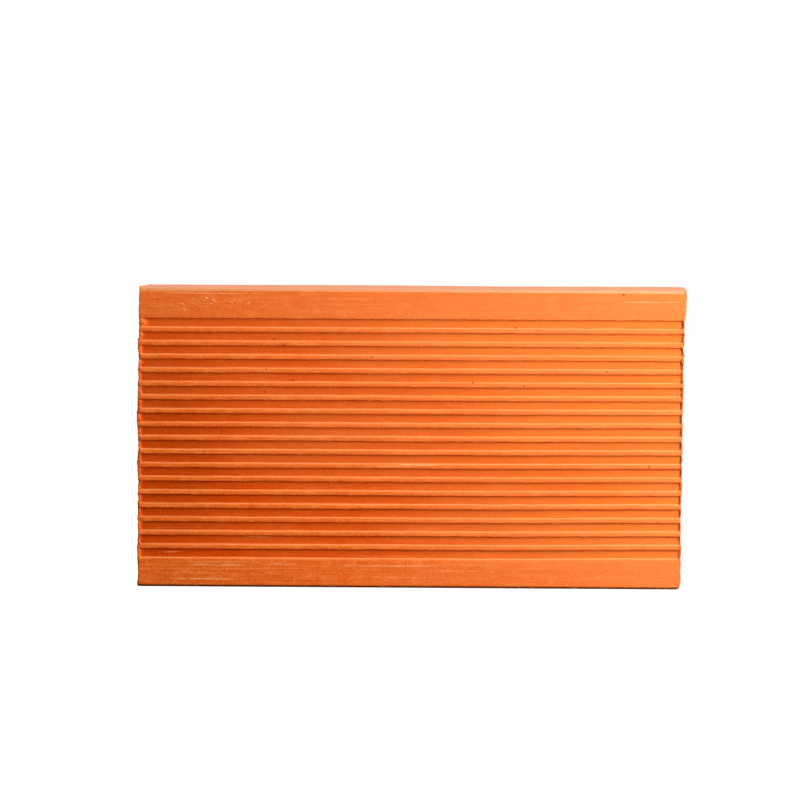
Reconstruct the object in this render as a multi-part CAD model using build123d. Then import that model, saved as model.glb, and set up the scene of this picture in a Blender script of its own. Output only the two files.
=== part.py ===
from build123d import *
import math
import os

# Hollow clay brick with scored faces, for plastered walls. It is one extruded and fired piece of clay,
# modelled as it is laid: it stands on its lower bed face, its cells run level along X, and its two
# scored faces look along -Y and +Y. The origin is at the middle of the lower bed face, +Z is up, and
# all sizes are in millimetres.

# Format of the brick
LENGTH = 330.0  # from one wire-cut end to the other
HEIGHT = 180.0  # from the lower bed face to the upper one
THICKNESS = 120.0  # from the rib crests of one face to those of the other
ARRIS_RADIUS = 1.2  # the four long edges, rounded by the die

# Cells, in a grid of equal openings
CELL_COLUMNS = 2
CELL_ROWS = 3
OUTER_WALL = 9.0  # measured to the rib crests
WEB = 7.0  # between neighbouring cells
CELL_CORNER_RADIUS = 5.0

# Scoring of the two faces: level grooves that leave ribs between them
SMOOTH_BAND = 17.6  # above the grooves, and the least that is left below them
GROOVE_WIDTH = 5.3  # at the mouth, level with the rib crests
RIB_WIDTH = 2.9  # at the crest
GROOVE_DEPTH = 1.6
FLANK_DRAFT = 10.0  # degrees that each groove's sides lean outwards
CREST_RADIUS = 1.4
FLOOR_RADIUS = 0.25

# What follows from those sizes
RIB_PITCH = GROOVE_WIDTH + RIB_WIDTH
GROOVE_COUNT = 1 + math.floor((HEIGHT - 2 * SMOOTH_BAND - GROOVE_WIDTH) / RIB_PITCH)
FLANK_RUN = GROOVE_DEPTH * math.tan(math.radians(FLANK_DRAFT))
CELL_WIDTH = (THICKNESS - 2 * OUTER_WALL - (CELL_COLUMNS - 1) * WEB) / CELL_COLUMNS
CELL_HEIGHT = (HEIGHT - 2 * OUTER_WALL - (CELL_ROWS - 1) * WEB) / CELL_ROWS


def scoring():
    """Corners of the scored face from the top groove down, as (depth, height, radius)."""
    corners = []
    for groove in range(GROOVE_COUNT):
        mouth_top = HEIGHT - SMOOTH_BAND - groove * RIB_PITCH
        mouth_bottom = mouth_top - GROOVE_WIDTH
        corners += [
            (0, mouth_top, CREST_RADIUS),
            (GROOVE_DEPTH, mouth_top - FLANK_RUN, FLOOR_RADIUS),
            (GROOVE_DEPTH, mouth_bottom + FLANK_RUN, FLOOR_RADIUS),
            (0, mouth_bottom, CREST_RADIUS),
        ]
    return corners


def scored_face(side):
    """A whole face from its upper long edge to its lower one, as (y, z, radius). Side is -1 or +1."""
    corners = [(0, HEIGHT, ARRIS_RADIUS), *scoring(), (0, 0, ARRIS_RADIUS)]
    return [(side * (THICKNESS / 2 - depth), height, radius) for depth, height, radius in corners]


def section():
    """Cross-section of the brick across its cells, on the plane of its length's middle."""
    outline = scored_face(-1) + scored_face(+1)[::-1]
    points = [(y, z) for y, z, _ in outline]
    radii = [radius for _, _, radius in outline]
    clay = make_face(FilletPolyline(*points, radius=radii, close=True))
    cell_grid = GridLocations(CELL_WIDTH + WEB, CELL_HEIGHT + WEB, CELL_COLUMNS, CELL_ROWS)
    cell = RectangleRounded(CELL_WIDTH, CELL_HEIGHT, CELL_CORNER_RADIUS)
    return clay - Pos(0, HEIGHT / 2) * cell_grid * cell


def hollow_clay_brick():
    """The brick: its section along the whole length, cut square at both ends."""
    return extrude(Plane.YZ * section(), LENGTH / 2, both=True)


os.makedirs("parts", exist_ok=True)
export_step(hollow_clay_brick(), "parts/hollow_clay_brick.step")
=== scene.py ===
import math
from functools import cached_property

import bpy
import numpy as np
from mathutils import Matrix, Vector
from mathutils.geometry import delaunay_2d_cdt


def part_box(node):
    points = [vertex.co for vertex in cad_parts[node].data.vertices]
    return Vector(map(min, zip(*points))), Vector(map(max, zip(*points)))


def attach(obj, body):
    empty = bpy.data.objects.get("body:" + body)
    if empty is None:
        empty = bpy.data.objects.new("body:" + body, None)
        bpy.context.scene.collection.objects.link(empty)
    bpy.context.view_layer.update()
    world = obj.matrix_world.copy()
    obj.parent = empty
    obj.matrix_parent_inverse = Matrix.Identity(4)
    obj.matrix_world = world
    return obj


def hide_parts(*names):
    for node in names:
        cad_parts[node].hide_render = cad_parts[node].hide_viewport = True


# A hollow clay brick with scored faces, as it comes from the kiln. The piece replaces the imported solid
# with the same section, and adds what extruding, wire cutting and firing leave on it. Shapes are worked
# out in millimetres in the brick's own frame: X along the cells, the photographed face towards -Y, and
# Z up from the floor.

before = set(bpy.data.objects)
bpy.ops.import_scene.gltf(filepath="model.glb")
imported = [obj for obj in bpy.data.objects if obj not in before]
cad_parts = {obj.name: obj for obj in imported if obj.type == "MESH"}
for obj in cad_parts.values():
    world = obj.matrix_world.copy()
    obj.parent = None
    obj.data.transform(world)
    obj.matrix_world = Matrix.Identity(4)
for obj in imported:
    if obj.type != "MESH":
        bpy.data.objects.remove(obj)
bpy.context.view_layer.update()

NODE = "hollow_clay_brick"
PIECE = "hollow_clay_brick_fired"
MM = 0.001
rng = np.random.default_rng(20)

# Format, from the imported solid
box_low, box_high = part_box(NODE)
LENGTH, THICKNESS, HEIGHT = (box_high - box_low) / MM

# Section, as in the part's source
ARRIS_RADIUS = 1.2
CELL_COLUMNS = 2
CELL_ROWS = 3
OUTER_WALL = 9.0
WEB = 7.0
CELL_CORNER_RADIUS = 5.0
SMOOTH_BAND = 17.6
GROOVE_WIDTH = 5.3
RIB_WIDTH = 2.9
GROOVE_DEPTH = 1.6
FLANK_DRAFT = 10.0
CREST_RADIUS = 1.4
FLOOR_RADIUS = 0.25
RIB_PITCH = GROOVE_WIDTH + RIB_WIDTH
GROOVE_COUNT = 1 + math.floor((HEIGHT - 2 * SMOOTH_BAND - GROOVE_WIDTH) / RIB_PITCH)
FLANK_RUN = GROOVE_DEPTH * math.tan(math.radians(FLANK_DRAFT))
CELL_WIDTH = (THICKNESS - 2 * OUTER_WALL - (CELL_COLUMNS - 1) * WEB) / CELL_COLUMNS
CELL_HEIGHT = (HEIGHT - 2 * OUTER_WALL - (CELL_ROWS - 1) * WEB) / CELL_ROWS

DRAGGED_RADIUS = 0.6  # of the ribs' lower edges, which came out crisper than the section has them
BAND_FOOT = HEIGHT - SMOOTH_BAND  # lower edge of the upper band

# Mesh density
ARC_STEP = math.radians(26)
ARC_SLACK = 0.01  # of a step, which doesn't call for another step
FACE_STEP = 1.6
BED_STEP = 4.2
LONGEST_FINE_RUN = 40.0
CELL_STEP = 3.4
WALL_STEP = 4.8
WALL_END_STEPS = (0.0, 0.3, 0.6, 0.95, 1.35, 1.8, 2.3, 2.9, 3.7, 4.8, 6.4)
CELL_WALL_STEP = 16.0
CELL_END_STEPS = (0.0, 0.4, 0.9, 1.6, 2.6, 4.5, 8.0)
CUT_STEP = 2.6
CUT_SCATTER = 0.3  # of a step, by which the points of a cut end are off their grid
CUT_MARGIN = 1.3


# Section outlines

def face_corners(side):
    """A scored face from its upper long edge down, as (y, z, radius). Side is -1 in front and +1 behind."""
    corners = [(0, HEIGHT, ARRIS_RADIUS)]
    for groove in range(GROOVE_COUNT):
        top = BAND_FOOT - groove * RIB_PITCH
        bottom = top - GROOVE_WIDTH
        corners += [
            (0, top, DRAGGED_RADIUS),
            (GROOVE_DEPTH, top - FLANK_RUN, FLOOR_RADIUS),
            (GROOVE_DEPTH, bottom + FLANK_RUN, FLOOR_RADIUS),
            (0, bottom, CREST_RADIUS),
        ]
    corners.append((0, 0, ARRIS_RADIUS))
    return [(side * (THICKNESS / 2 - depth), z, radius) for depth, z, radius in corners]


def cell_centres():
    """Middle of each cell, as (y, z)."""
    ys = [(i - (CELL_COLUMNS - 1) / 2) * (CELL_WIDTH + WEB) for i in range(CELL_COLUMNS)]
    zs = [HEIGHT / 2 + (i - (CELL_ROWS - 1) / 2) * (CELL_HEIGHT + WEB) for i in range(CELL_ROWS)]
    return [(y, z) for z in zs for y in ys]


def cell_corners(centre):
    """A cell's corners, counter-clockwise, as (y, z, radius)."""
    y, z = centre
    half_y, half_z = CELL_WIDTH / 2, CELL_HEIGHT / 2
    signs = [(-1, 1), (-1, -1), (1, -1), (1, 1)]
    return [(y + a * half_y, z + b * half_z, CELL_CORNER_RADIUS) for a, b in signs]


def rounded(corners, step_for):
    """A closed outline with rounded corners, run counter-clockwise: its points and outward normals."""
    points, normals = [], []
    arcs = []
    count = len(corners)
    for i, (y, z, radius) in enumerate(corners):
        here = np.array([y, z])
        before = np.array(corners[i - 1][:2])
        after = np.array(corners[(i + 1) % count][:2])
        arrive = (here - before) / np.linalg.norm(here - before)
        leave = (after - here) / np.linalg.norm(after - here)
        turn = math.atan2(arrive[0] * leave[1] - arrive[1] * leave[0], arrive @ leave)
        reach = radius * math.tan(abs(turn) / 2)
        pieces = max(1, math.ceil(abs(turn) / ARC_STEP - ARC_SLACK))
        angles = math.atan2(arrive[1], arrive[0]) + turn * np.linspace(0, 1, pieces + 1)
        outward = np.stack([np.sin(angles), -np.cos(angles)], 1)
        centre = here - arrive * reach - math.copysign(radius, turn) * outward[0]
        arcs.append((centre + math.copysign(radius, turn) * outward, outward))
    for i, (arc, outward) in enumerate(arcs):
        points += list(arc)
        normals += list(outward)
        start, end = arc[-1], arcs[(i + 1) % count][0][0]
        run = np.linalg.norm(end - start)
        pieces = max(1, round(run / step_for(run)))
        for share in np.arange(1, pieces) / pieces:
            points.append(start + share * (end - start))
            normals.append(outward[-1])
    return np.array(points), np.array(normals)


def outer_step(run):
    """Spacing of points on a straight run of the outer wall."""
    return FACE_STEP if run < LONGEST_FINE_RUN else BED_STEP


def cell_step(run):
    """Spacing of points on a straight run of a cell's wall, the same for any run."""
    return CELL_STEP


def stations(end_steps, step):
    """Places along the length where the section is repeated, close together near the two ends."""
    ends = np.array(end_steps) - LENGTH / 2
    count = round(-2 * ends[-1] / step)
    middle = np.linspace(ends[-1], -ends[-1], count + 1)[1:-1]
    return np.concatenate([ends, middle, -ends[::-1]])


# The undressed mesh: walls, cells and cut ends, which share the vertices of their rims

class Clay:
    """Vertices and faces as they are collected, with what is known of each."""

    def __init__(self):
        self.places = []
        self.normals = []
        self.faces = []
        self.materials = []
        self.maps = []

    def add_places(self, places, normals):
        first = len(self.places)
        self.places += list(places)
        self.normals += list(normals)
        return first

    def add_face(self, corners, material, uvs):
        self.faces.append(corners)
        self.materials.append(material)
        self.maps += uvs


FACE, CELL, CUT = range(3)

# Layout of the texture map, in the same millimetres as the surface
MAP_GAP = 6.0
CELL_MAP_SHARE = 0.5

# How the triangles of a cut end are made
INSIDE_RIM = 1
MERGE_WITHIN = 1e-5


def run_length(points):
    """Length along a closed outline at each point, and all round at the end."""
    steps = np.linalg.norm(np.roll(points, -1, axis=0) - points, axis=1)
    return np.concatenate([[0], np.cumsum(steps)])


def add_tube(clay, outline, xs, material, corner, x_share):
    """A wall along the length. The corner is where its map starts. Returns the indices of its two rims."""
    points, normals = outline
    count = len(points)
    into_cell = material == CELL
    lengths = run_length(points)
    first = len(clay.places)
    for x in xs:
        clay.add_places([(x, y, z) for y, z in points], -normals if into_cell else normals)
    for i in range(len(xs) - 1):
        near, far = first + i * count, first + (i + 1) * count
        u0 = corner[0] + x_share * (xs[i] + LENGTH / 2)
        u1 = corner[0] + x_share * (xs[i + 1] + LENGTH / 2)
        for j in range(count):
            k = (j + 1) % count
            v0, v1 = corner[1] + lengths[j], corner[1] + lengths[j + 1]
            quad = [near + j, near + k, far + k, far + j]
            uvs = [(u0, v0), (u0, v1), (u1, v1), (u1, v0)]
            if into_cell:
                quad.reverse()
                uvs.reverse()
            clay.add_face(quad, material, uvs)
    last = first + (len(xs) - 1) * count
    return range(first, first + count), range(last, last + count)


def depth_in_cells(points):
    """How far each (y, z) lies inside the nearest cell's wall, negative in the clay."""
    deepest = np.full(len(points), -np.inf)
    straight = np.array([CELL_WIDTH, CELL_HEIGHT]) / 2 - CELL_CORNER_RADIUS
    for centre in cell_centres():
        away = np.abs(points - centre) - straight
        outside = np.linalg.norm(np.maximum(away, 0), axis=1) + np.minimum(away.max(1), 0)
        deepest = np.maximum(deepest, CELL_CORNER_RADIUS - outside)
    return deepest


def cut_points():
    """Points inside the clay of a cut end, in a loose grid."""
    ys = np.arange(-THICKNESS / 2, THICKNESS / 2, CUT_STEP)
    zs = np.arange(0, HEIGHT, CUT_STEP)
    grid = np.stack(np.meshgrid(ys, zs), -1).reshape(-1, 2)
    grid = grid + rng.uniform(-CUT_SCATTER, CUT_SCATTER, grid.shape) * CUT_STEP
    edge = CUT_MARGIN + GROOVE_DEPTH
    between_faces = np.abs(grid[:, 0]) < THICKNESS / 2 - edge
    between_beds = np.abs(grid[:, 1] - HEIGHT / 2) < HEIGHT / 2 - CUT_MARGIN
    return grid[between_faces & between_beds & (depth_in_cells(grid) < -CUT_MARGIN)]


def add_cut(clay, rims, right, corner):
    """A cut end between the outer rim and the rims of the cells. The corner is where its map starts."""
    inner = cut_points()
    x = LENGTH / 2 if right else -LENGTH / 2
    first = clay.add_places([(x, y, z) for y, z in inner], np.zeros_like(inner))
    indices = [i for rim in rims for i in rim] + list(range(first, first + len(inner)))
    edges, start = [], 0
    for rim in rims:
        edges += [(start + j, start + (j + 1) % len(rim)) for j in range(len(rim))]
        start += len(rim)
    flat = [Vector(clay.places[i][1:]) for i in indices]
    found, _, triangles, origins, _, _ = delaunay_2d_cdt(flat, edges, [], INSIDE_RIM, MERGE_WITHIN)
    back = [indices[origin[0]] for origin in origins]
    spots = np.array([tuple(p) for p in found])
    middles = spots[np.array(triangles)].mean(1)
    solid = depth_in_cells(middles) < 0
    for triangle, keep in zip(triangles, solid):
        if keep:
            order = triangle if right else triangle[::-1]
            uvs = [(corner[0] + spots[k][0] + THICKNESS / 2, corner[1] + spots[k][1]) for k in order]
            clay.add_face([back[k] for k in order], CUT, uvs)


def undressed():
    """The brick's section along its length, closed at both ends."""
    clay = Clay()
    outer = rounded(face_corners(-1) + face_corners(+1)[::-1], outer_step)
    rims = [add_tube(clay, outer, stations(WALL_END_STEPS, WALL_STEP), FACE, (0, 0), 1.0)]
    xs = stations(CELL_END_STEPS, CELL_WALL_STEP)
    second = LENGTH + MAP_GAP
    row = 0.0
    for number, centre in enumerate(cell_centres()):
        outline = rounded(cell_corners(centre), cell_step)
        column = number % CELL_COLUMNS
        corner = (second + column * (CELL_MAP_SHARE * LENGTH + MAP_GAP), row)
        rims.append(add_tube(clay, outline, xs, CELL, corner, CELL_MAP_SHARE))
        if column == CELL_COLUMNS - 1:
            row += run_length(outline[0])[-1] + MAP_GAP
    add_cut(clay, [rim[0] for rim in rims], False, (second, row))
    add_cut(clay, [rim[1] for rim in rims], True, (second + THICKNESS + MAP_GAP, row))
    return clay


# What extruding, cutting and firing leave on the clay

BOW = 0.1  # slow waves of the faces
BOW_LENGTHS = (170, 80, 80)
DIE_LINES = 0.04  # fine lines along the length, from the die
DIE_LENGTHS = (140, 2.6, 2.6)
EDGE_WAVER = 0.03  # small unevenness of ribs and bands
EDGE_LENGTHS = (12, 5, 5)
NICK_DEPTH = 0.35
NICK_LENGTHS = (6, 4, 4)
NICK_START = 2.1  # only the strongest waves of the noise make a nick
NICK_FADE = (0.2, 0.7)  # behind the rib crests

RIM_RADIUS = 0.5  # rounding of the cut edges
RAGGED = 0.18  # unevenness of the rims along X
RAGGED_LENGTHS = (20, 3.5, 3.5)
RAGGED_REACH = 2.5
CUT_WAVES = 0.2  # of the cut ends
CUT_LENGTHS = (40, 30, 14)
CUT_LOSS = 0.3  # what the rims are short of the full length

# The cutting wire left towards -Y, so it dragged clay over that side of each wall and into the front
# grooves
LEFT_LIP = (1.2, 2.9)  # from the end: where the lip is at full height, and where it has run out
RIGHT_LIP = (0.4, 1.5)
LIP_VARIES = (0.25, 0.15)  # by these shares
LEFT_LIP_DROP = 0.3  # below the rib crests
RIGHT_LIP_DROP = 0.55
LIP_DROP_VARIES = 0.25
LIP_LENGTHS = (60, 60, 5)
LIP_DEPTH = 1.5 * GROOVE_DEPTH  # what lies deeper is no groove
TOP_LIP_SHARE = 1.6  # how much wider the lip is in the top groove
BURR = 0.45  # overhang at the other walls
BURR_REACH = 1.8
BURR_MEAN = 0.6
BURR_VARIES = 0.7
BURR_LENGTHS = (30, 5, 5)
TOP_BURR = 1.4  # at the left end of the upper bed face, highest in front
TOP_BURR_FADE = (0.3, 3.0)  # from the end

LEFT_END_LEAN = 0.65  # how much the left end leans in at the top
LEFT_FOOT_LEAN = 0.5  # how much it leans in at the foot
LEFT_FOOT_FADE = (HEIGHT / 5, HEIGHT * 2 / 3)
RIGHT_END_LEAN = 1.9  # how much longer the brick is at the top of its right end than at the bottom
TOP_RIGHT_FLARE = 0.95  # of the upper band there
FLARE_LENGTH = 14.0
FLARE_START = 2.0  # below the band
BAND_FADE = 6.0  # height over which the scored part goes over into a band
RIB_CLIMB = 0.95  # of the lowest front rib towards the right end
CLIMB_START = 40.0
RIB_SAG = 0.2  # of all the front ribs
RIB_WAVER = 0.05  # how much the ribs wander up and down
WAVER_LENGTHS = (20, 90, 8)

# Chips: a corner of the front face, the way the broken surface looks, and its depth
LEFT_FOOT = (-LENGTH / 2, -THICKNESS / 2, 0.0)
LEFT_TOP = (-LENGTH / 2, -THICKNESS / 2, HEIGHT)
RIGHT_FOOT = (LENGTH / 2, -THICKNESS / 2, 0.0)
RIGHT_TOP = (LENGTH / 2, -THICKNESS / 2, HEIGHT)
CHIPS = [
    (RIGHT_FOOT, (1.0, -0.1, -0.4), 2.8),
    (RIGHT_FOOT, (1.0, -0.15, -1.0), 3.0),
    (RIGHT_FOOT, (0.4, -0.1, -1.0), 2.0),
    (LEFT_FOOT, (-0.8, -0.3, -1.0), 1.2),
    (RIGHT_TOP, (0.8, -0.3, 0.8), 0.9),
    (LEFT_TOP, (-1.0, -0.4, 0.6), 0.6),
]
CHIP_ROUGHNESS = 0.25
CHIP_LENGTHS = (4, 4, 4)


def waves(places, lengths, count=32):
    """Smooth seeded noise of about unit strength, with a typical wavelength along each axis."""
    ways = rng.normal(size=(count, places.shape[1]))
    ways /= np.linalg.norm(ways, axis=1)[:, None]
    rates = ways * 2 * math.pi / np.array(lengths) * rng.uniform(0.6, 1.6, (count, 1))
    return math.sqrt(2 / count) * np.cos(places @ rates.T + rng.uniform(0, 2 * math.pi, count)).sum(1)


def rise(values, start, end):
    """Goes smoothly from 0 at start to 1 at end."""
    share = np.clip((values - start) / (end - start), 0, 1)
    return share * share * (3 - 2 * share)


class Surface:
    """Where the vertices of the undressed brick lie. Normals have a Y and a Z part, and are 0 on a cut."""

    def __init__(self, places, normals):
        self.places = places
        self.normals = normals
        self.x, self.y, self.z = places.T
        self.from_end = LENGTH / 2 - np.abs(self.x)
        self.right = self.x > 0
        self.front = self.y < 0
        self.behind_crests = THICKNESS / 2 - np.abs(self.y)
        from_middle = np.abs(self.z - HEIGHT / 2)
        near_face = np.abs(self.y) > THICKNESS / 2 - OUTER_WALL / 2
        near_bed = from_middle > HEIGHT / 2 - OUTER_WALL / 2
        self.on_wall = np.linalg.norm(normals, axis=1) > 0.5
        self.outside = self.on_wall & (near_face | near_bed)
        between_edges = from_middle < HEIGHT / 2 - ARRIS_RADIUS
        self.scored = self.outside & (self.behind_crests < 2 * GROOVE_DEPTH) & between_edges


def unevenness(s):
    """Waves, die lines and nicks of the walls, as moves along Y and Z."""
    swell = BOW * waves(s.places, BOW_LENGTHS) + DIE_LINES * waves(s.places, DIE_LENGTHS)
    swell += EDGE_WAVER * waves(s.places, EDGE_LENGTHS)
    nicks = np.maximum(0, waves(s.places, NICK_LENGTHS) - NICK_START)
    nicks *= 1 - rise(s.behind_crests, *NICK_FADE)
    swell -= NICK_DEPTH * nicks * s.outside
    straight_out = np.stack([np.sign(s.y), 0 * s.y], 1)
    return np.where(s.scored[:, None], straight_out, s.normals) * swell[:, None]


def rim_moves(s):
    """Rounded cut edges, and burrs where the wire left each wall, as moves along Y and Z."""
    close = np.clip(RIM_RADIUS - s.from_end, 0, RIM_RADIUS)
    push = np.sqrt(RIM_RADIUS ** 2 - close ** 2) - RIM_RADIUS
    leaving = np.maximum(0, -s.normals[:, 0]) * ~(s.outside & s.front)
    overhang = np.maximum(0, BURR_MEAN + BURR_VARIES * waves(s.places, BURR_LENGTHS))
    push += BURR * leaving * overhang * (1 - rise(s.from_end, 0, BURR_REACH))
    return s.normals * push[:, None]


def lip_height(s):
    """How far the lips that close the front grooves stand out from the grooves."""
    vary = waves(s.places, LIP_LENGTHS)
    in_top_groove = s.z > BAND_FOOT - GROOVE_WIDTH
    wider = 1 + (TOP_LIP_SHARE - 1) * in_top_groove * ~s.right
    full = np.where(s.right, RIGHT_LIP[0], LEFT_LIP[0]) * wider * (1 + LIP_VARIES[0] * vary)
    out = np.where(s.right, RIGHT_LIP[1], LEFT_LIP[1]) * wider * (1 + LIP_VARIES[1] * vary)
    in_groove = s.outside & s.front & (s.behind_crests < LIP_DEPTH)
    depth = np.where(in_groove, s.behind_crests, 0)
    drop = np.where(s.right, RIGHT_LIP_DROP, LEFT_LIP_DROP) + LIP_DROP_VARIES * waves(s.places, LIP_LENGTHS)
    return np.maximum(0, depth - drop) * (1 - rise(s.from_end, full, out))


def top_rim(s):
    """Height of the raised rim at the left end of the upper bed face."""
    on_top = s.outside & (s.normals[:, 1] > 0.9)
    backwards = (s.y + THICKNESS / 2) / THICKNESS
    return TOP_BURR * (on_top & ~s.right) * (1 - backwards) * (1 - rise(s.from_end, *TOP_BURR_FADE))


def end_moves(s):
    """Ragged rims, uneven cuts, leaning ends and the flared band, as moves along X."""
    ends = np.where(s.right, 1, -1) * (1 - rise(s.from_end, 0, RAGGED_REACH))
    uneven = RAGGED * waves(s.places, RAGGED_LENGTHS) + CUT_WAVES * waves(s.places, CUT_LENGTHS)
    along = (s.x + LENGTH / 2) / LENGTH
    right_lean = RIGHT_END_LEAN * (s.z - HEIGHT / 2) / HEIGHT
    left_lean = LEFT_END_LEAN * rise(s.z, HEIGHT / 2, BAND_FOOT)
    left_lean += LEFT_FOOT_LEAN * (1 - rise(s.z, *LEFT_FOOT_FADE))
    band = rise(s.z, BAND_FOOT - FLARE_START, BAND_FOOT + BAND_FADE) * s.front
    flare = TOP_RIGHT_FLARE * band * rise(s.x, LENGTH / 2 - FLARE_LENGTH, LENGTH / 2)
    return ends * (uneven - CUT_LOSS) + along ** 2 * right_lean + (1 - along) ** 2 * left_lean + flare


def rib_moves(s):
    """Front ribs that climb to the right, most of all the lowest, sag and wander, as moves along Z."""
    front = rise(-s.y, THICKNESS / 4, THICKNESS / 2 - OUTER_WALL)
    low_down = np.interp(s.z, (0, SMOOTH_BAND, BAND_FOOT), (0, 1, 0))
    climb = RIB_CLIMB * low_down * rise(s.x, CLIMB_START, LENGTH / 2)
    ribbed = rise(s.z, SMOOTH_BAND - BAND_FADE, SMOOTH_BAND)
    ribbed *= 1 - rise(s.z, BAND_FOOT, BAND_FOOT + BAND_FADE)
    waver = RIB_WAVER * waves(s.places, WAVER_LENGTHS) * s.scored
    return front * (climb - RIB_SAG * ribbed) + waver * ribbed


def chipped(moved, places):
    """The moved vertices, with those that stand proud of a chip's broken surface brought back to it."""
    grain = CHIP_ROUGHNESS * waves(places, CHIP_LENGTHS)
    for corner, way, deep in CHIPS:
        unit = np.array(way) / np.linalg.norm(way)
        proud = (moved - corner) @ unit + deep + grain
        moved = moved - np.maximum(0, proud)[:, None] * unit
    return moved


def dressed(places, normals):
    """The vertices with the marks of the making on them, none below the floor."""
    s = Surface(places, normals)
    moved = places.copy()
    sideways = unevenness(s) + rim_moves(s)
    moved[:, 1:] += np.where(s.on_wall[:, None], sideways, 0)
    moved[:, 1] -= lip_height(s)
    moved[:, 2] += top_rim(s)
    moved[:, 0] += end_moves(s)
    moved[:, 2] += rib_moves(s)
    moved = chipped(moved, places)
    moved[:, 2] = np.maximum(moved[:, 2], 0)
    return moved


# Materials

def linear(red, green, blue):
    """A colour as seen on a screen, from 0 to 255, as shaders take it."""
    parts = [c / 255 for c in (red, green, blue)]
    return tuple(c / 12.92 if c <= 0.04045 else ((c + 0.055) / 1.055) ** 2.4 for c in parts) + (1.0,)


class Nodes:
    """Short calls for a material's node tree."""

    def __init__(self, name):
        self.material = bpy.data.materials.new(name)
        self.material.use_nodes = True
        self.tree = self.material.node_tree
        self.shader = self.tree.nodes["Principled BSDF"]

    def add(self, kind, inputs=(), **settings):
        """A node with its inputs linked or set by name or number. Returns its first output."""
        node = self.tree.nodes.new("ShaderNode" + kind)
        for name, value in settings.items():
            setattr(node, name, value)
        for name, value in dict(inputs).items():
            self.put(node.inputs[name], value)
        return node.outputs[0]

    def put(self, socket, value):
        if isinstance(value, bpy.types.NodeSocket):
            self.tree.links.new(value, socket)
        else:
            socket.default_value = value

    def maths(self, operation, *values):
        return self.add("Math", enumerate(values), operation=operation)

    def product(self, first, *others):
        for other in others:
            first = self.maths("MULTIPLY", first, other)
        return first

    def ramp(self, value, start, end, low=0.0, high=1.0):
        """Goes smoothly from low at start to high at end."""
        inputs = {"Value": value, "From Min": start, "From Max": end, "To Min": low, "To Max": high}
        return self.add("MapRange", inputs, interpolation_type="SMOOTHSTEP")

    def mix(self, share, first, second):
        node = self.tree.nodes.new("ShaderNodeMix")
        node.data_type = "RGBA"
        self.put(node.inputs["Factor"], share)
        self.put(node.inputs["A"], first)
        self.put(node.inputs["B"], second)
        return node.outputs["Result"]


class ClayNodes(Nodes):
    """The nodes of a clay material, with where a point of the brick lies, in millimetres."""

    def __init__(self, name):
        super().__init__(name)
        coordinates = self.tree.nodes.new("ShaderNodeTexCoord").outputs["Object"]
        normal = self.tree.nodes.new("ShaderNodeNewGeometry").outputs["Normal"]
        self.place = self.add("VectorMath", {0: coordinates, 1: (1 / MM,) * 3}, operation="MULTIPLY")
        self.x, self.y, self.z = self.add("SeparateXYZ", {0: self.place}).node.outputs
        self.facing_up = self.add("SeparateXYZ", {0: normal}).node.outputs["Z"]
        self.depth = self.maths("SUBTRACT", THICKNESS / 2, self.maths("ABSOLUTE", self.y))

    @cached_property
    def from_end(self):
        return self.maths("SUBTRACT", LENGTH / 2, self.maths("ABSOLUTE", self.x))

    @cached_property
    def front(self):
        """1 on the front face, and 0 towards the back."""
        return self.ramp(self.y, *FRONT_FADE)

    def noise(self, lengths, detail=2.0, roughness=0.5):
        """Noise whose features have these lengths along X, Y and Z."""
        rates = tuple(1 / length for length in lengths)
        scaled = self.add("VectorMath", {0: self.place, 1: rates}, operation="MULTIPLY")
        inputs = {"Vector": scaled, "Scale": 1.0, "Detail": detail, "Roughness": roughness}
        return self.add("TexNoise", inputs)

    def marks(self, place, listed):
        """The strength of each listed mark inside its ellipse, fading at the rim."""
        total = 0.0
        for x, z, half_x, half_z, strength in listed:
            rates = (1 / half_x, 0, 1 / half_z)
            shift = (-x / half_x, 0, -z / half_z)
            local = self.add("VectorMath", {0: place, 1: rates, 2: shift}, operation="MULTIPLY_ADD")
            away = self.add("VectorMath", {0: local}, operation="LENGTH").node.outputs["Value"]
            total = self.maths("MAXIMUM", total, self.ramp(away, 1.0, MARK_CORE, 0.0, strength))
        return total


# Colours of the fired clay, each pair from the darker, redder end to the paler one: they are mixed by
# painted shade, darker towards the left end and the foot, and by random clouds of tone
CLAY_DEEP = (linear(219, 74, 2), linear(234, 121, 48))
CLAY = (linear(236, 104, 28), linear(238, 121, 60))
CLAY_PALE = (linear(252, 150, 78), linear(245, 139, 65))
# Dust, with a painted sheen, on tops and upper edges
DUST_AND_SHEEN = (linear(230, 144, 90), linear(228, 166, 124))
SCUFF = linear(250, 168, 108)
LIME = linear(253, 203, 160)
# Dark colour of pits and holes, also used for painted shade in the left grooves and along the rims
PIT_AND_SHADE = linear(120, 40, 12)
# Colour of the painted contact shadow at the foot
CONTACT_SHADOW_COLOUR = linear(70, 22, 5)

# Painted shade: the clay goes paler along X and Z, so the left end and the foot come out darker and redder
PAINTED_SHADE_RATES = (0.0024, 0.0, 0.0017)  # a millimetre, along X, Y and Z
PALE_LEVEL = 0.35  # at the middle of the lower bed face
HEAT_CLOUDS = 0.12  # how much clouds change it

ROUGHNESS = (0.95, 0.8)  # between the drag lines and on them
SPECULAR = 0.03

# Lengths of the features along X, Y and Z
CLOUD_LENGTHS = (110, 60, 45)
SAND_LENGTHS = (1.4, 1.2, 1.2)
MOTTLE_LENGTHS = (9, 5, 4)
HOLE_LENGTHS = (2.2, 2.2, 2.2)
FACE_STREAKS = (70, 1.3, 1.1)
CELL_STREAKS = (120, 2.2, 2.2)
CUT_STREAKS = (2.0, 45, 1.5)
CRUMB_LENGTHS = (3.0, 1.6, 1.1)
RIM_LENGTHS = (1.6, 2.0, 2.4)
TORN_LENGTHS = (4.0, 9.0, 3.0)
WANDER_LENGTHS = (14, 14, 14)
SCUFF_LENGTHS = (6, 3, 0.8)
LIME_LENGTHS = (2.6, 2, 1.3)

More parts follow.
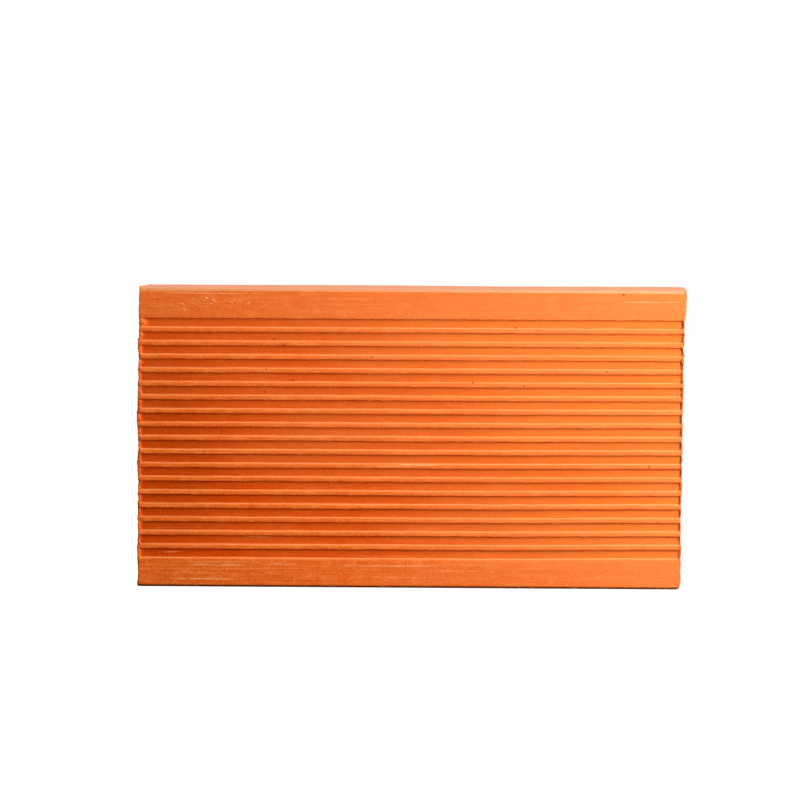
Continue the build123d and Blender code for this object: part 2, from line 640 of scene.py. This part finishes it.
# Levels of their noise where they come in, and where they are full
CLOUD_LEVELS = (0.3, 0.7)
ROUGH_LEVELS = (0.3, 0.8)
HOLE_LEVELS = (0.22, 0.17)
TORN_LEVELS = (0.5, 0.68)
PALE_CRUMB_LEVELS = (0.57, 0.66)
DARK_CRUMB_LEVELS = (0.41, 0.33)
RIM_LEVELS = (0.48, 0.58)
SCUFF_LEVELS = (0.3, 0.5)
LIME_LEVELS = (0.56, 0.68)

# Grain: how far from the noise's middle it comes in and is full, and how strongly it tells
STREAK_GRAIN = (0.03, 0.22, 0.6)
MOTTLE_GRAIN = (0.0, 0.2, 0.3)
SAND_GRAIN = (0.0, 0.3, 0.7)
CALM_SHARE = 0.6  # of it is lost where the clay is painted pale as a highlight, with dust on top

# How strongly the other features tell
HOLE_SHARE = 0.6
TORN_SHARE = 0.1
CRUMB_SHARE = 0.35
RIM_SHARE = 0.6
CONTACT_SHADOW_SHARE = 0.9
WORN_HIGHLIGHT_SHARE = 0.85
FACE_HIGHLIGHT = 0.85
INNER_HIGHLIGHT = 0.35
CELL_DRYNESS = 0.6
CUT_DRYNESS = 0.25

# Heights of the fine relief, in millimetres
SAND_RELIEF = 0.22
HOLE_RELIEF = 0.2
TORN_RELIEF = 0.4
PIT_RELIEF = 0.5
FACE_TEAR = 0.12
CELL_TEAR = 0.15
CUT_TEAR = 0.6

# Upward parts of the surface's normal where something comes in, and where it is full
UNDERSIDE_SHADE = (-0.8, -0.1)
TURNED_UP = (0.05, 0.85)
LYING_FLAT = (0.7, 0.95)
OVERHANGING = (-0.1, -0.5)
ABOVE_UNDERSIDE = (-0.95, -0.6)

# Millimetres at which something comes in, and at which it is full
FRONT_FADE = (-20.0, -40.0)  # along Y
GROOVE_FLOOR_SHADE = (0.95 * GROOVE_DEPTH, 0.3)  # behind the crests
CRUMB_DEPTH = (GROOVE_DEPTH, 0.6)
LEFT_SHADE_DEPTH = (0.3, 1.1)
END_WITHOUT_GROOVE_SHADE = (3.2, 1.8)  # from the end
RIM_CRUMBS_AND_SHADE = (2.4, 1.4)
WORN_HIGHLIT_EDGE = (HEIGHT - 1.7, HEIGHT - 0.8)  # above the floor, less the depth behind the crests
BELOW_BAND = (BAND_FOOT + 2.0, BAND_FOOT)  # above the floor
CONTACT_SHADOW_HEIGHTS = (1.9, 0.5)

MARK_CORE = 0.45  # of a mark's size, where it has its full strength

# Marks on the front face: x, z, half length, half height, strength
PALE_MARKS = [
    (-118.0, 177.4, 40.0, 0.45, 0.75),
    (144.0, 173.4, 24.0, 0.5, 0.8),
    (136.0, 164.3, 4.0, 0.5, 0.6),
    (5.0, 74.4, 17.0, 0.8, 0.8),
    (-8.0, 73.2, 22.0, 0.4, 0.5),
    (-115.0, 13.1, 25.0, 0.5, 0.9),
    (-9.0, 13.1, 40.0, 0.5, 0.8),
    (-125.0, 4.6, 24.0, 0.55, 0.9),
    (-77.0, 13.6, 16.0, 0.4, 0.6),
    (-145.0, 20.8, 9.0, 0.4, 0.7),
    (89.5, 39.6, 5.0, 0.5, 0.6),
    (106.0, 31.8, 4.0, 0.5, 0.6),
    (-91.0, 30.2, 10.0, 0.35, 0.5),
]
DARK_MARKS = [
    (-82.3, 149.9, 0.8, 0.6, 0.8),
    (-76.0, 146.2, 0.7, 0.7, 0.8),
    (-87.0, 131.7, 0.6, 0.7, 0.8),
    (-71.0, 125.0, 0.8, 0.6, 0.8),
    (-88.0, 117.8, 0.7, 0.6, 0.8),
    (-23.0, 139.2, 0.9, 0.6, 0.7),
    (38.0, 124.0, 0.9, 0.6, 0.8),
    (63.6, 157.3, 1.0, 0.6, 0.7),
    (69.0, 122.4, 0.8, 0.6, 0.7),
    (119.0, 131.0, 0.8, 0.7, 0.7),
    (128.6, 177.8, 1.1, 0.9, 0.6),
    (144.7, 73.9, 0.4, 1.7, 0.9),
]
# Parts of the front face whose grooves are darkened as painted shade
LEFT_GROOVE_SHADE = [
    (-178.0, 80.0, 95.0, 90.0, 0.2),
]
# Patches where specks of lime show
LIME_PATCHES = [
    (-124.0, 173.2, 10.0, 3.0, 1.0),
    (-138.5, 169.0, 6.0, 3.5, 1.0),
    (-103.0, 171.0, 8.0, 3.5, 0.8),
]


def shaded_clay_colours(n):
    """Deep, plain, pale and dusty clay, darker and redder towards the left end and towards the bottom as
    painted shade, with random clouds of tone.
    """
    cloud = n.noise(CLOUD_LENGTHS, 3.0)
    level = n.ramp(cloud, *CLOUD_LEVELS, PALE_LEVEL - HEAT_CLOUDS, PALE_LEVEL + HEAT_CLOUDS)
    # Painted shade: darker towards the left end and the bottom
    shade_drift = n.add("VectorMath", {0: n.place, 1: PAINTED_SHADE_RATES}, operation="DOT_PRODUCT").node.outputs["Value"]
    paler_and_lit = n.ramp(n.maths("ADD", shade_drift, level), 0.0, 1.0)
    return [n.mix(paler_and_lit, *pair) for pair in (CLAY_DEEP, CLAY, CLAY_PALE, DUST_AND_SHEEN)]


def torn(n, colour, height):
    """The tears that the cutting wire left."""
    tears = n.ramp(n.noise(TORN_LENGTHS, 4.0, 0.65), *TORN_LEVELS)
    colour = n.mix(n.product(tears, TORN_SHARE), colour, PIT_AND_SHADE)
    return colour, n.maths("SUBTRACT", height, n.product(tears, TORN_RELIEF))


def darkened(n, colour):
    """A painted contact shadow along the foot, crumbs under the ribs, painted shade in the front grooves
    towards the left end, and dark crumbs along the rims that also paint their shade.
    """
    # Painted contact shadow: a dark line along the foot, above the underside
    foot = n.ramp(n.z, *CONTACT_SHADOW_HEIGHTS, 0.0, CONTACT_SHADOW_SHARE)
    colour = n.mix(n.product(foot, n.ramp(n.facing_up, *ABOVE_UNDERSIDE)), colour, CONTACT_SHADOW_COLOUR)

    under_ribs = n.product(n.ramp(n.facing_up, *OVERHANGING), n.ramp(n.depth, *CRUMB_DEPTH))
    crumb = n.noise(CRUMB_LENGTHS)
    pale_crumbs = n.ramp(crumb, *PALE_CRUMB_LEVELS, 0.0, CRUMB_SHARE)
    dark_crumbs = n.ramp(crumb, *DARK_CRUMB_LEVELS, 0.0, CRUMB_SHARE)
    colour = n.mix(n.product(under_ribs, pale_crumbs), colour, SCUFF)
    colour = n.mix(n.product(under_ribs, dark_crumbs), colour, PIT_AND_SHADE)

    # Painted shade in the front grooves towards the left end
    left_groove_shade = n.product(n.marks(n.place, LEFT_GROOVE_SHADE), n.ramp(n.depth, *LEFT_SHADE_DEPTH), n.front)
    colour = n.mix(left_groove_shade, colour, PIT_AND_SHADE)

    # Dark crumbs along the cut rims, which also paint the shade along them
    crumbs_and_rim_shade = n.ramp(n.noise(RIM_LENGTHS), *RIM_LEVELS, 0.0, RIM_SHARE)
    rim = n.product(n.ramp(n.from_end, *RIM_CRUMBS_AND_SHADE), n.ramp(n.z, *BELOW_BAND))
    return n.mix(n.product(crumbs_and_rim_shade, rim), colour, PIT_AND_SHADE)


def front_marks(n, colour, height):
    """The scuffs, specks of lime and pits that are listed for the front face."""
    wander = n.maths("SUBTRACT", n.noise(WANDER_LENGTHS), 0.5)
    bent = n.add("VectorMath", {0: n.place, 1: n.add("CombineXYZ", {"Z": wander})}, operation="ADD")
    broken = n.ramp(n.noise(SCUFF_LENGTHS), *SCUFF_LEVELS)
    grains = n.ramp(n.noise(LIME_LENGTHS), *LIME_LEVELS)
    pits = n.product(n.marks(n.place, DARK_MARKS), n.front)
    colour = n.mix(n.product(n.marks(bent, PALE_MARKS), broken, n.front), colour, SCUFF)
    colour = n.mix(n.product(n.marks(n.place, LIME_PATCHES), grains, n.front), colour, LIME)
    colour = n.mix(pits, colour, PIT_AND_SHADE)
    return colour, n.maths("SUBTRACT", height, n.product(pits, PIT_RELIEF))


def fired_clay(name, streak_lengths, tear, cut=False, marked=False):
    """Fired clay whose drag lines have these lengths, and the tear as their height. Cut is for the ends
    that the wire cut, and marked for the outer walls, with the marks listed above."""
    n = ClayNodes(name)
    streaks = n.noise(streak_lengths, 3.0, 0.6)
    sand = n.noise(SAND_LENGTHS, 2.0, 0.7)
    mottle = n.noise(MOTTLE_LENGTHS)
    deep, clay, pale, dust_and_sheen = shaded_clay_colours(n)

    # Deep clay as painted shade in the groove floors and on parts that face down, pale clay as painted
    # highlight on parts that face up, and dust with a painted sheen on top
    if marked:
        # Painted shade: the groove floors take the deep clay, the crests, bands and ends the plain clay
        plain_and_lit_share = n.maths("MAXIMUM", n.ramp(n.depth, *GROOVE_FLOOR_SHADE), n.ramp(n.from_end, *END_WITHOUT_GROOVE_SHADE))
        # Painted highlight: parts that face up take the pale clay, and flat tops dust with a painted sheen
        highlight_and_dust = n.mix(n.ramp(n.facing_up, *LYING_FLAT), pale, dust_and_sheen)
    else:
        plain_and_lit_share = CUT_DRYNESS if cut else CELL_DRYNESS
        highlight_and_dust = pale
    # Painted shade: parts that face down take the deep clay
    plain_and_lit_share = n.product(n.ramp(n.facing_up, *UNDERSIDE_SHADE), plain_and_lit_share)
    # Painted highlight on parts that face up
    upward = n.ramp(n.facing_up, *TURNED_UP, 0.0, FACE_HIGHLIGHT if marked else INNER_HIGHLIGHT)
    # Pale wear along the upper arrises, partly a painted highlight there
    worn_edge_highlight = n.ramp(n.maths("SUBTRACT", n.z, n.depth), *WORN_HIGHLIT_EDGE, 0.0, WORN_HIGHLIGHT_SHARE)
    colour = n.mix(upward, n.mix(plain_and_lit_share, deep, clay), highlight_and_dust)
    colour = n.mix(worn_edge_highlight, colour, dust_and_sheen)

    # Drag lines and sandy grain
    calm = n.product(upward, CALM_SHARE)
    lighter = n.mix(calm, n.mix(plain_and_lit_share, clay, pale), colour)
    darker = n.mix(calm, deep, colour)
    grains = [(streaks, STREAK_GRAIN), (mottle, MOTTLE_GRAIN), (sand, SAND_GRAIN)]
    for noise, (start, full, share) in grains:
        colour = n.mix(n.ramp(noise, 0.5 + start, 0.5 + full, 0.0, share), colour, lighter)
        colour = n.mix(n.ramp(noise, 0.5 - start, 0.5 - full, 0.0, share), colour, darker)

    # Small holes, which the front face has only where they are listed
    holes = n.ramp(n.noise(HOLE_LENGTHS, 1.0), *HOLE_LEVELS)
    if marked:
        holes = n.product(holes, n.maths("SUBTRACT", 1.0, n.front))
    colour = n.mix(n.product(holes, HOLE_SHARE), colour, PIT_AND_SHADE)
    height = n.maths("ADD", n.product(sand, SAND_RELIEF), n.product(streaks, tear))
    height = n.maths("SUBTRACT", height, n.product(holes, HOLE_RELIEF))

    if cut:
        colour, height = torn(n, colour, height)
    if marked:
        colour = darkened(n, colour)
        colour, height = front_marks(n, colour, height)
    n.put(n.shader.inputs["Base Color"], colour)
    n.put(n.shader.inputs["Roughness"], n.ramp(streaks, *ROUGH_LEVELS, *ROUGHNESS))
    n.put(n.shader.inputs["Specular IOR Level"], SPECULAR)
    n.put(n.shader.inputs["Normal"], n.add("Bump", {"Height": height, "Distance": MM, "Strength": 1.0}))
    return n.material


def build_brick():
    """The whole brick as one piece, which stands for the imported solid."""
    clay = undressed()
    places = np.array(clay.places, float)
    normals = np.array(clay.normals, float)
    mesh = bpy.data.meshes.new(PIECE)
    mesh.from_pydata((dressed(places, normals) * MM).tolist(), [], clay.faces)
    mesh.polygons.foreach_set("material_index", clay.materials)
    mesh.polygons.foreach_set("use_smooth", [True] * len(clay.faces))
    uvs = np.array(clay.maps)
    uvs = (uvs + MAP_GAP / 2) / (uvs.max() + MAP_GAP)
    mesh.uv_layers.new(name="OFBake").data.foreach_set("uv", uvs.ravel())
    mesh.materials.append(fired_clay("fired_clay_face", FACE_STREAKS, FACE_TEAR, marked=True))
    mesh.materials.append(fired_clay("fired_clay_cell", CELL_STREAKS, CELL_TEAR))
    mesh.materials.append(fired_clay("fired_clay_cut", CUT_STREAKS, CUT_TEAR, cut=True))
    mesh.validate()
    brick = bpy.data.objects.new(PIECE, mesh)
    bpy.context.scene.collection.objects.link(brick)
    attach(brick, "root")
    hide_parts(NODE)


# Stage: floor, world, lamps and camera, in metres

WHITE = (1.0, 1.0, 1.0, 1.0)
FLOOR_HALF = 6.0
FLOOR_DROP = 0.0001  # so that the floor and the brick's foot don't share a plane
FLOOR_COLOUR = (0.12, 0.12, 0.12, 1.0)
FLOOR_ROUGHNESS = 0.9
FLOOR_GLOW = 0.93  # how much of the floor's white is there without light
CONTACT_REACH = 0.006  # how far from the brick the floor darkens
CONTACT_RANGE = (0.1, 0.5)
WORLD_LIGHT = 0.05

# Lamps: name, place, the point they look at, width and power in watts
FRONT_MIDDLE = (0.0, -THICKNESS / 2 * MM, HEIGHT / 2 * MM)
LEFT_MIDDLE = (-LENGTH / 2 * MM, 0.0, HEIGHT / 2 * MM)
BACK_MIDDLE = (0.0, THICKNESS / 2 * MM, HEIGHT / 2 * MM)
LAMPS = [
    ("high_softbox", (0.60, -0.54, 0.50), FRONT_MIDDLE, 0.60, 6.4),
    ("low_softbox", (0.62, -0.54, 0.20), FRONT_MIDDLE, 0.46, 4.7),
    ("top_softbox", (0.05, -0.25, 0.75), FRONT_MIDDLE, 0.60, 2.2),
    ("left_fill", (-0.90, 0.22, 0.22), LEFT_MIDDLE, 0.40, 4.5),
    ("back_fill", (-0.40, 1.20, 0.45), BACK_MIDDLE, 0.80, 17.0),
]

CAMERA_PLACE = Vector((0.1431, -5.6822, 0.3022))
CAMERA_AIM = Vector((-0.0059, -0.0600, 0.1135))
CAMERA_ROLL = math.radians(0.29)
CAMERA_LENS = 419.2
CAMERA_REACH = 50.0
SENSOR_WIDTH = 36.0


def seen_share(tree):
    """1 for rays that show the background: from the camera, or by way of a reflection or through glass."""
    path = tree.nodes.new("ShaderNodeLightPath")
    first = tree.nodes.new("ShaderNodeMath")
    first.operation = "MAXIMUM"
    tree.links.new(path.outputs["Is Camera Ray"], first.inputs[0])
    tree.links.new(path.outputs["Is Glossy Ray"], first.inputs[1])
    second = tree.nodes.new("ShaderNodeMath")
    second.operation = "MAXIMUM"
    tree.links.new(first.outputs[0], second.inputs[0])
    tree.links.new(path.outputs["Is Transmission Ray"], second.inputs[1])
    return second.outputs[0]


def build_floor():
    """A white floor whose glow is taken down close to the brick, as a painted contact shadow."""
    half = FLOOR_HALF
    corners = [(-half, -half, 0), (half, -half, 0), (half, half, 0), (-half, half, 0)]
    mesh = bpy.data.meshes.new("floor")
    mesh.from_pydata(corners, [], [(0, 1, 2, 3)])
    n = Nodes("floor_white")
    n.put(n.shader.inputs["Base Color"], FLOOR_COLOUR)
    n.put(n.shader.inputs["Roughness"], FLOOR_ROUGHNESS)
    n.put(n.shader.inputs["Emission Color"], WHITE)
    # Painted contact shadow: the floor's glow falls away close to the brick
    open_share = n.add("AmbientOcclusion", {"Distance": CONTACT_REACH}).node.outputs["AO"]
    glow = n.ramp(open_share, *CONTACT_RANGE, 0.0, FLOOR_GLOW)
    n.put(n.shader.inputs["Emission Strength"], n.product(seen_share(n.tree), glow))
    mesh.materials.append(n.material)
    floor = bpy.data.objects.new("floor", mesh)
    floor.location.z = -FLOOR_DROP
    bpy.context.scene.collection.objects.link(floor)


def build_world():
    """A white background that gives little light of its own."""
    world = bpy.data.worlds.new("white_room")
    world.use_nodes = True
    tree = world.node_tree
    background = tree.nodes["Background"]
    background.inputs["Color"].default_value = WHITE
    level = tree.nodes.new("ShaderNodeMapRange")
    tree.links.new(seen_share(tree), level.inputs["Value"])
    level.inputs["To Min"].default_value = WORLD_LIGHT
    tree.links.new(level.outputs["Result"], background.inputs["Strength"])
    bpy.context.scene.world = world


def add_lamp(name, place, aim, size, power):
    """A round soft lamp that looks from a place towards another."""
    lamp = bpy.data.lights.new(name, "AREA")
    lamp.shape = "DISK"
    lamp.size = size
    lamp.energy = power
    holder = bpy.data.objects.new(name, lamp)
    holder.location = place
    holder.rotation_mode = "QUATERNION"
    holder.rotation_quaternion = (Vector(aim) - Vector(place)).to_track_quat("-Z", "Y")
    bpy.context.scene.collection.objects.link(holder)


def build_camera():
    """The camera that took the photo: far off, a little to the right and above, and slightly rolled."""
    ahead = (CAMERA_AIM - CAMERA_PLACE).normalized()
    level = ahead.cross(Vector((0, 0, 1))).normalized()
    upright = level.cross(ahead)
    right = level * math.cos(CAMERA_ROLL) + upright * math.sin(CAMERA_ROLL)
    up = right.cross(ahead)
    data = bpy.data.cameras.new("camera")
    data.lens = CAMERA_LENS
    data.sensor_width = SENSOR_WIDTH
    data.clip_end = CAMERA_REACH
    camera = bpy.data.objects.new("camera", data)
    turned = Matrix((right, up, -ahead)).transposed().to_4x4()
    camera.matrix_world = Matrix.Translation(CAMERA_PLACE) @ turned
    bpy.context.scene.collection.objects.link(camera)
    bpy.context.scene.camera = camera


build_brick()
build_floor()
build_world()
for lamp_values in LAMPS:
    add_lamp(*lamp_values)
build_camera()
bpy.context.scene.view_settings.view_transform = "Standard"
